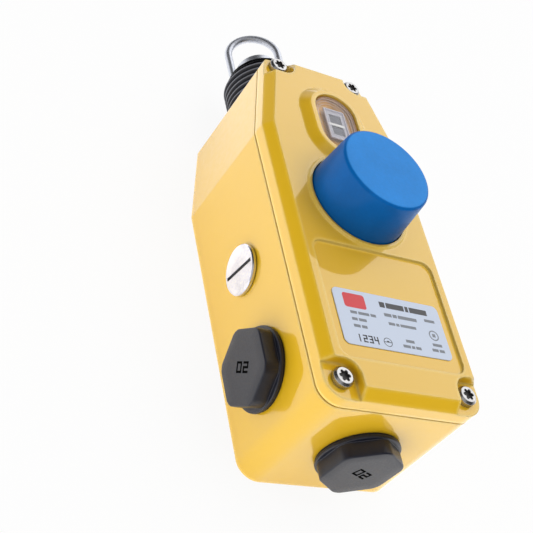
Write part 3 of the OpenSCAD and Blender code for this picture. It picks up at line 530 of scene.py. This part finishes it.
def make_bellows():
    """A folded boot, tight on the casing at one end and on the rod at the other."""
    low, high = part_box("bellows")
    crest = (high.x - low.x) / 2
    folds, depth, skin = 9, 0.0027, 0.0011
    taper, half_ridge, rounding = 0.0013, 0.0003, 0.0003
    first, last = low.y + 0.0048, high.y - 0.0009
    pitch = (last - first) / (folds - 1)
    foot, lip, neck = crest - 0.002, 0.0004, ROD_R + 0.0016
    outer = [(foot - lip, low.y, 0), (foot, low.y + lip, rounding), (foot, low.y + 0.002, 0.0005)]
    for i in range(folds):
        # The two folds next to the rod's neck are smaller
        ridge = crest - taper * max(0, i - folds + 3)
        place = first + i * pitch
        outer.append((ridge - depth, place - pitch / 2, rounding))
        outer.append((ridge, place - half_ridge, rounding))
        outer.append((ridge, place + half_ridge, rounding))
    outer.append((ridge - 0.0009, high.y, rounding))
    outer.append((neck, high.y, 0))
    inner = [(neck, high.y - skin, 0)]
    for radius, place, _ in reversed(outer[2:-2]):
        inner.append((radius - skin, min(place, high.y - skin), 0))
    inner.append((foot - lip, low.y + 0.0006, 0))
    profile = rounded_profile(outer, 5) + rounded_profile(inner)
    mesh = lathe("bellows_skin", profile + profile[:1], on_rod(0), (0, 1, 0))
    # A painted highlight pales the finish in this band, up to the tops of the full folds
    band = 0.0003
    crest_highlight_at = mesh.attributes.new("crest", "FLOAT", "POINT")
    for i, vertex in enumerate(mesh.vertices):
        reach = (vertex.co - on_rod(vertex.co.y)).length
        crest_highlight_at.data[i].value = min(max(1 + (reach - crest) / band, 0), 1)
    piece = new_piece("bellows_skin", mesh, BOOT_RUBBER, None, 60)
    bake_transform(piece)
    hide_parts("bellows")


def make_coil(name, node, axis, wire):
    """A coil spring in the space of its CAD node."""
    turns = 6
    low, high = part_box(node)
    along = Vector(axis)
    length = (high - low).dot(along) - wire
    radius = (high.x - low.x - wire) / 2
    path = coil_path(middle(node) - along * length / 2, axis, radius, length, turns)
    piece = new_piece(name, wire_along(name, path, wire / 2), SPRING_STEEL, None, 60)
    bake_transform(piece)
    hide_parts(node)


def make_springs():
    """The spring that the rope works against, and the one under the reset button."""
    make_coil("main_coil", "main_spring", (0, 1, 0), 0.002)
    make_coil("reset_coil", "reset_spring", (0, 0, 1), 0.0012)


# ---- reset button ----

def make_button_cap():
    """A hollow tapered cap with a soft rim round its flat top, and a hub for its stem."""
    low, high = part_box("reset_button")
    base, top = (high.x - low.x) / 2, high.z
    crown, wall = base - 0.00125, 0.0026
    ceiling = top - wall
    hub, hub_end = 0.0055, low.z + 0.0025
    bore, bore_end = 0.00355, ceiling + 0.0006
    # From the middle of the top outwards, down the side and back inside
    corners = [(0, top, 0), (crown - 0.0016, top, 0.004), (crown, top - 0.00002, 0.0013),
               (base, low.z + 0.0031, 0.002), (base, low.z, 0.0004), (base - wall, low.z, 0.0004),
               (crown - wall, ceiling, 0.001), (hub, ceiling, 0), (hub, hub_end, 0.0003),
               (bore, hub_end, 0), (bore, bore_end, 0), (0, bore_end, 0)]
    mesh = lathe("button_cap", rounded_profile(corners, 8), (0, BUTTON_Y, 0), (0, 0, 1), 144)
    piece = new_piece("button_cap", mesh, BUTTON_BLUE, "button", 50)
    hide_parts("reset_button")


# ---- cable plugs ----

def hexagon_at(turn, across, limit, inwards):
    """Radius of a hexagon with clipped corners, seen from its middle at an angle."""
    softness = 0.00035
    sixth = math.tau / 6
    off = (turn + sixth / 2) % sixth - sixth / 2
    sharp = (across / 2 - inwards) / math.cos(off)
    clipped = limit - inwards
    gap = abs(sharp - clipped)
    reach = min(sharp, clipped)
    if gap < softness:
        reach -= (softness - gap) ** 2 / (4 * softness)
    return reach


def make_plug(name, node, seat, outwards, turn):
    """A screwed plug: round flange, hexagon head with softened edges, hollow shank."""
    spin = Vector((0, 0, 1)).rotation_difference(Vector(outwards)).to_matrix()
    seal, flange, head = 0.0006, 0.0013, 0.005
    radius, across, corner = 0.01365, 0.024, 0.01315
    shank, hollow, shank_end = 0.0092, 0.0071, -0.0089
    foot, top = seal + flange, seal + flange + head
    angles = [math.tau * i / 144 for i in range(144)]
    rows = [([reach] * len(angles), height) for reach, height in (
        (hollow, -0.008), (hollow, shank_end), (shank, shank_end), (shank, seal),
        (radius - 0.0003, seal), (radius, seal + 0.0003), (radius, foot - 0.0004),
        (radius - 0.0001, foot - 0.00014), (radius - 0.0004, foot))]
    for inwards, height in ((0.0, foot), (0.0, foot + 0.0001), (0.0, top - 0.0005),
                            (0.00007, top - 0.00025), (0.00025, top - 0.00007), (0.0005, top),
                            (0.004, top), (0.009, top)):
        rows.append(([hexagon_at(angle - turn, across, corner, inwards) for angle in angles], height))
    points = [seat + spin @ Vector((reach * math.cos(angle), reach * math.sin(angle), height))
              for reaches, height in rows for reach, angle in zip(reaches, angles)]
    count, last = len(angles), len(points) - len(angles)
    ends = [tuple(range(last, last + count)), tuple(reversed(range(count)))]
    mesh = mesh_from(name, points, skin_rows(len(rows), count) + ends)
    piece = new_piece(name, mesh, PLUG_PLASTIC, "casing", 35)
    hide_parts(node)
    return seat + Vector(outwards) * top


# Strokes of the digits in a box one wide and two high, by their corners
STROKES = {
    "0": [((0, 0), (1, 0), (1, 2), (0, 2), (0, 0))],
    "1": [((0.5, 0), (0.5, 2))],
    "2": [((0, 2), (1, 2), (1, 1), (0, 1), (0, 0), (1, 0))],
    "3": [((0, 2), (1, 2), (1, 0), (0, 0)), ((0.2, 1), (1, 1))],
    "4": [((0, 2), (0, 1), (1, 1)), ((1, 2), (1, 0))],
}


def digits(text, x, y, height, weight, width):
    """Outlines of a number's strokes, from its lower left corner; width is a share of height."""
    shapes = []
    for sign in text:
        for line in STROKES[sign]:
            corners = [Vector((x + u * height * width, y + v * height / 2)) for u, v in line]
            for a, b in zip(corners, corners[1:]):
                along = (b - a).normalized() * weight / 2
                across = Vector((-along.y, along.x))
                a, b = a - along, b + along
                shapes.append([a - across, b - across, b + across, a + across])
        x += height * width + weight * 2.2
    return shapes


def make_cable_plugs():
    """The plugs in the side and in the foot of the casing, with a number on each."""
    side_face = make_plug("side_plug_head", "side_plug", ENTRY, (-1, 0, 0), 0.0)
    end_seat = Vector((0, CASING_FOOT, middle("end_plug").z))
    end_face = make_plug("end_plug_head", "end_plug", end_seat, (0, -1, 0), math.radians(-5))
    number = digits("20", -0.0031, -0.0014, 0.0029, 0.0007, 0.8)
    for name, plane in (("side_plug_number", plane_at(side_face, (0, 1, 0), (0, 0, -1), 58.33)),
                        ("end_plug_number", plane_at(end_face, (-1, 0, 0), (0, 0, -1), -26.28))):
        flat_piece(name, number, plane, DIGIT_SHADOW, -0.00004, 0.00003)


# ---- sockets, slots and thread ----

def make_socket_shade_discs():
    """Painted shade: dark discs at the floors of the lid screws' sockets."""
    low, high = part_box("lid_screws")
    head, head_height = 0.0034, 0.0023
    floor = high.z - 0.6 * head_height
    disc = arc(0, 0, 0.62 * head, 0, 360, 48)[:-1]
    narrow = max(vertex.co.x for vertex in cad["lid_screws"].data.vertices if vertex.co.y > 0)
    parts = []
    for side in (-1, 1):
        for x, y in ((high.x - head, low.y + head), (narrow - head, high.y - head)):
            plane = plane_at((side * x, y, floor), (1, 0, 0), (0, 1, 0))
            parts.append((disc, plane, -0.0001, 0.0005))
    new_piece("socket_shade_discs", prisms("socket_shade_discs", parts), SOCKET_SHADE, "casing", 0)


def make_slot_shade_linings():
    """Painted shade: dark linings on the walls and floor of the slots in the two port plugs."""
    low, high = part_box("port_plugs")
    centre = middle("port_plugs")
    half_l, half_w, skin, lean = 0.0072, 0.00064, 0.00005, 7.5
    floor, top = -0.00092, -0.00008
    length, width = 2 * half_l, 2 * half_w
    parts = []
    for side, face in ((-1, low.x), (1, high.x)):
        plane = plane_at((face, centre.y, centre.z), (0, 0, 1), (0, -side, 0), side * lean)
        parts.append((bar(-half_l, -half_w, length, width), plane, floor, floor + skin))
        for wall in (bar(-half_l, -half_w, length, skin), bar(-half_l, half_w - skin, length, skin),
                     bar(-half_l, -half_w, skin, width), bar(half_l - skin, -half_w, skin, width)):
            parts.append((wall, plane, floor, top))
    new_piece("slot_shade_linings", prisms("slot_shade_linings", parts), SLOT_SHADE, "casing", 0)


def make_entry_thread():
    """The thread that a cable gland screws into, inside the open entry."""
    bore, depth, pitch, turns, lead = 0.00923, 0.00055, 0.0015, 6, 0.0006
    profile = []
    for i in range(turns):
        start = -i * pitch - lead
        profile += [(bore, start), (bore - depth, start - 0.0006), (bore - depth, start - 0.0008),
                    (bore, start - 0.0014)]
    back = bore + 0.00001
    profile += [(back, -turns * pitch - lead), (back, -lead)]
    mesh = lathe("entry_thread", profile + profile[:1], (-CASING_SIDE, ENTRY.y, ENTRY.z), (1, 0, 0), 72)
    new_piece("entry_thread", mesh, PAINT, "casing", 20)


# ---- rating label, with nothing on it but plain rules, bars, rings and numbers ----

# Lines of small print: x, y, height, gap and the lengths of the bars, as shares of the label
SMALL_PRINT = (
    (0.44, 0.62, 0.06, 0.01, (0.07, 0.04, 0.18)),
    (0.46, 0.47, 0.05, 0.01, (0.06, 0.03, 0.15)),
    (0.12, 0.56, 0.05, 0.012, (0.06, 0.1, 0.05)),
    (0.12, 0.44, 0.05, 0.012, (0.05, 0.07)),
    (0.12, 0.32, 0.05, 0.012, (0.06, 0.05)),
    (0.58, 0.2, 0.05, 0.01, (0.08,)),
    (0.54, 0.1, 0.05, 0.01, (0.07, 0.03, 0.05)),
    (0.865, 0.39, 0.06, 0.01, (0.03,)),
    (0.84, 0.22, 0.05, 0.01, (0.09,)),
    (0.82, 0.12, 0.05, 0.01, (0.06, 0.05)),
    (0.83, 0.66, 0.05, 0.01, (0.1,)),
)
LARGE_PRINT = (0.42, 0.78, 0.1, 0.012, (0.05, 0.17, 0.03, 0.17))


def make_label():
    """A red block, dark and grey print, two rings and two numbers on the label's film."""
    low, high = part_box("rating_label")
    width, height = high.x - low.x, high.y - low.y
    plane = plane_at((low.x, low.y, high.z), (1, 0, 0), (0, 1, 0))

    def words(x, y, size, gap, lengths):
        """A line of print that reads as nothing: plain bars with gaps."""
        shapes = []
        for length in lengths:
            shapes.append(bar(x * width, y * height, length * width, size * height))
            x += length + gap
        return shapes

    block = [(x + 0.185 * width, y + 0.8 * height)
             for x, y in rounded_plate(0.2 * width, 0.26 * height, 0.0009)]
    x, y, radius, weight = 0.4 * width, 0.14 * height, 0.0016, 0.00022
    dark = words(*LARGE_PRINT) + ring_shape(x, y, radius, weight)
    dark += [bar(x - radius, y - weight / 2, 0.0012, weight),
             bar(x + 0.0004, y - weight / 2, 0.0012, weight),
             bar(x - 0.0004, y - weight / 2, 0.0009, 0.0006)]
    for number, share in (("12", 0.13), ("34", 0.23)):
        dark += digits(number, share * width, 0.08 * height, 0.0022, 0.00045, 0.5)
    grey = ring_shape(0.88 * width, 0.42 * height, 0.0019, 0.0004)
    for line in SMALL_PRINT:
        grey += words(*line)
    flat_piece("label_block", [block], plane, INK_RED)
    flat_piece("label_lines", dark, plane, INK_BLACK)
    flat_piece("label_rows", grey, plane, INK_GREY)


# ---- what shows under the lens ----

def make_tension_marks():
    """The two marks on the flag that moves with the rod."""
    plane = plane_at((0, WINDOW_Y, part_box("tension_indicator")[1].z), (1, 0, 0), (0, 1, 0))
    marks = pair_of_bars(0.0088, 0.0042, 0.0009)
    flat_piece("tension_marks", marks, plane, FLAG_MARK, 0.0, 0.00004, "rod")


def frame_shape(name, outer, inner, plane, low, high, surface):
    """A flat frame between two outlines that have the same number of points."""
    points = [plane(u, v, height) for height in (low, high) for outline in (outer, inner)
              for u, v in outline]
    faces = []
    count = len(outer)
    for i in range(count):
        j = (i + 1) % count
        a, b, c, d = i, count + i, 2 * count + i, 3 * count + i
        e, f, g, h = j, count + j, 2 * count + j, 3 * count + j
        faces += [(c, g, h, d), (a, b, f, e), (a, e, g, c), (b, d, h, f)]
    return new_piece(name, mesh_from(name, points, faces), surface, "casing", 30)


def rectangle_like(outline, width, height):
    """A rectangle whose points lie in the directions of another outline's points."""
    shape = []
    for u, v in outline:
        scale = min(width / 2 / max(abs(u), 1e-9), height / 2 / max(abs(v), 1e-9))
        shape.append((u * scale, v * scale))
    return shape


def make_window_parts():
    """The well round the sight, its two borders, the steps in the lens, pale with a painted reflection, and
    the fixed index.
    """
    plane = plane_at((0, WINDOW_Y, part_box("sight_frame")[1].z), (1, 0, 0), (0, 1, 0))
    span = 0.0098
    rim = stadium(0.0083, span)
    well, border, inner_border, sight = [
        rectangle_like(rim, width, height)
        for width, height in ((0.0062, 0.0104), (0.0086, 0.0142), (0.0078, 0.0134), (0.005, 0.0098))]
    # The amber well and wall: the seat's yellow paint and a painted reflection of it
    frame_shape("window_well", rim, well, plane, -0.0001, 0.00012, WELL_AMBER)
    frame_shape("window_wall", stadium(0.00844, span), stadium(0.00841, span), plane, 0.0, 0.0018,
                WELL_AMBER)
    frame_shape("window_border", border, inner_border, plane, 0.0012, 0.0018, SIGHT_PALE)
    frame_shape("window_inner_border", inner_border, sight, plane, 0.0009, 0.0014, SIGHT_GREY)
    # The steps' pale rings are a painted reflection in the lens
    for step in (1, 2, 3):
        radius, height = 0.0085 - 0.0008 * step, 0.0017 - 0.0004 * step
        frame_shape(f"lens_step_glint_{step}", stadium(radius, span), stadium(radius - 0.0002, span), plane,
                    height, height + 0.0001, LENS_STEP_GLINT)
    index, line = pair_of_bars(0.005, 0.004, 0.0009), [bar(-0.0033, -0.0006, 0.0066, 0.0012)]
    flat_piece("window_index", index, plane, SMOKED, 0.001, 0.0012)
    flat_piece("window_index_line", line, plane, FLAG_WHITE, 0.0012, 0.00145)


# ---- studio ----

def make_camera():
    """A camera before the casing's foot, from the side of its plug."""
    data = bpy.data.cameras.new("camera")
    data.lens = 73.1
    data.sensor_width = 36
    data.clip_start = 0.02
    camera = bpy.data.objects.new("camera", data)
    bpy.context.scene.collection.objects.link(camera)
    camera.location = (-0.20065, -0.21113, 0.25472)
    camera.rotation_euler = [math.radians(turn) for turn in (42.1421, -30.1750, -12.0409)]
    bpy.context.scene.camera = camera


def make_lamp(name, place, size, power):
    """A soft square lamp that faces the object and doesn't show in its gloss."""
    data = bpy.data.lights.new(name, "AREA")
    data.size = size
    data.energy = power
    lamp = bpy.data.objects.new(name, data)
    bpy.context.scene.collection.objects.link(lamp)
    lamp.location = place
    lamp.rotation_euler = (Vector((0, 0, 0.03)) - Vector(place)).to_track_quat("-Z", "Y").to_euler()
    lamp.visible_glossy = False


def patch(tree, way, direction, start, end, low, high):
    """A soft patch of the studio: low away from a direction, high towards it."""
    centre = Vector(direction).normalized()
    nearness = put(tree, "VectorMath", {0: way, 1: centre}, operation="DOT_PRODUCT").outputs["Value"]
    return spread(tree, nearness, start, end, low, high, soft=True)


def make_world():
    """The studio round the object.

    Gloss shows a soft box over the far right side, grey walls and two black cards. All other
    light comes from a bright ceiling that falls off towards the walls, with a shade on the left.
    """
    world = bpy.data.worlds.new("studio")
    bpy.context.scene.world = world
    world.use_nodes = True
    tree = world.node_tree
    tree.nodes.clear()
    way = put(tree, "TexCoord").outputs["Generated"]
    height = put(tree, "SeparateXYZ", {0: way}).outputs["Z"]
    ceiling = spread(tree, height, 0.0, 0.8, 0.1, 0.98, soft=True)
    shade = patch(tree, way, (-0.7, 0.0, 0.7), 0.6, 0.9, 1.0, 0.4)
    soft_box = patch(tree, way, (0.52, 0.56, 0.65), 0.8, 0.95, 0.0, 1.35)
    wall = 0.55
    for card in ((-0.48, 0.55, 0.68), (0.52, -0.5, 0.69)):
        wall = maths(tree, "MULTIPLY", wall, patch(tree, way, card, 0.7, 0.9, 1.0, 0.06))
    even, gloss, backdrop = [
        put(tree, "Background", {"Color": (1, 1, 1, 1), "Strength": strength}).outputs[0]
        for strength in (maths(tree, "MULTIPLY", ceiling, shade), maths(tree, "ADD", wall, soft_box), 0.98)]
    path = put(tree, "LightPath").outputs
    lit = put(tree, "MixShader", {0: path["Is Glossy Ray"], 1: even, 2: gloss}).outputs[0]
    seen = put(tree, "MixShader", {0: path["Is Camera Ray"], 1: lit, 2: backdrop}).outputs[0]
    put(tree, "OutputWorld", {0: seen})


def floor_finish():
    """A matt white that shows even to the camera and lights the object a little from below."""
    material = bpy.data.materials.new("floor")
    material.use_nodes = True
    tree = material.node_tree
    tree.nodes.clear()
    white = (1, 1, 1, 1)
    path = put(tree, "LightPath").outputs
    matte = put(tree, "BsdfDiffuse", {"Color": (0.86, 0.86, 0.86, 1)}).outputs[0]
    strength = spread(tree, path["Is Glossy Ray"], 0.0, 1.0, 1.15, 0.55)
    glow = put(tree, "Emission", {"Color": white, "Strength": strength}).outputs[0]
    lit = put(tree, "AddShader", {0: matte, 1: glow}).outputs[0]
    plain = put(tree, "Emission", {"Color": white, "Strength": 1.0}).outputs[0]
    shown = put(tree, "MixShader", {0: 0.92, 1: matte, 2: plain}).outputs[0]
    seen = put(tree, "MixShader", {0: path["Is Camera Ray"], 1: lit, 2: shown}).outputs[0]
    put(tree, "OutputMaterial", {0: seen})
    return material


def make_floor():
    """A wide floor just under the casing's back."""
    half, drop = 4, 0.0002
    mesh = bpy.data.meshes.new("floor")
    mesh.from_pydata([(*corner, 0) for corner in bar(-half, -half, 2 * half, 2 * half)], [], [(0, 1, 2, 3)])
    mesh.materials.append(floor_finish())
    floor = bpy.data.objects.new("floor", mesh)
    bpy.context.scene.collection.objects.link(floor)
    floor.location.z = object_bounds()[0][2] - drop


# ---- the scene ----

make_bellows()
make_springs()
make_button_cap()
make_cable_plugs()
make_socket_shade_discs()
make_slot_shade_linings()
make_entry_thread()
make_label()
make_tension_marks()
make_window_parts()

make_camera()
make_lamp("key", (0.35, 0.1, 1.0), 0.8, 3.9)
make_lamp("fill", (-0.9, -0.45, 0.2), 0.35, 2.2)
make_world()
make_floor()
bpy.context.scene.view_settings.view_transform = "Standard"
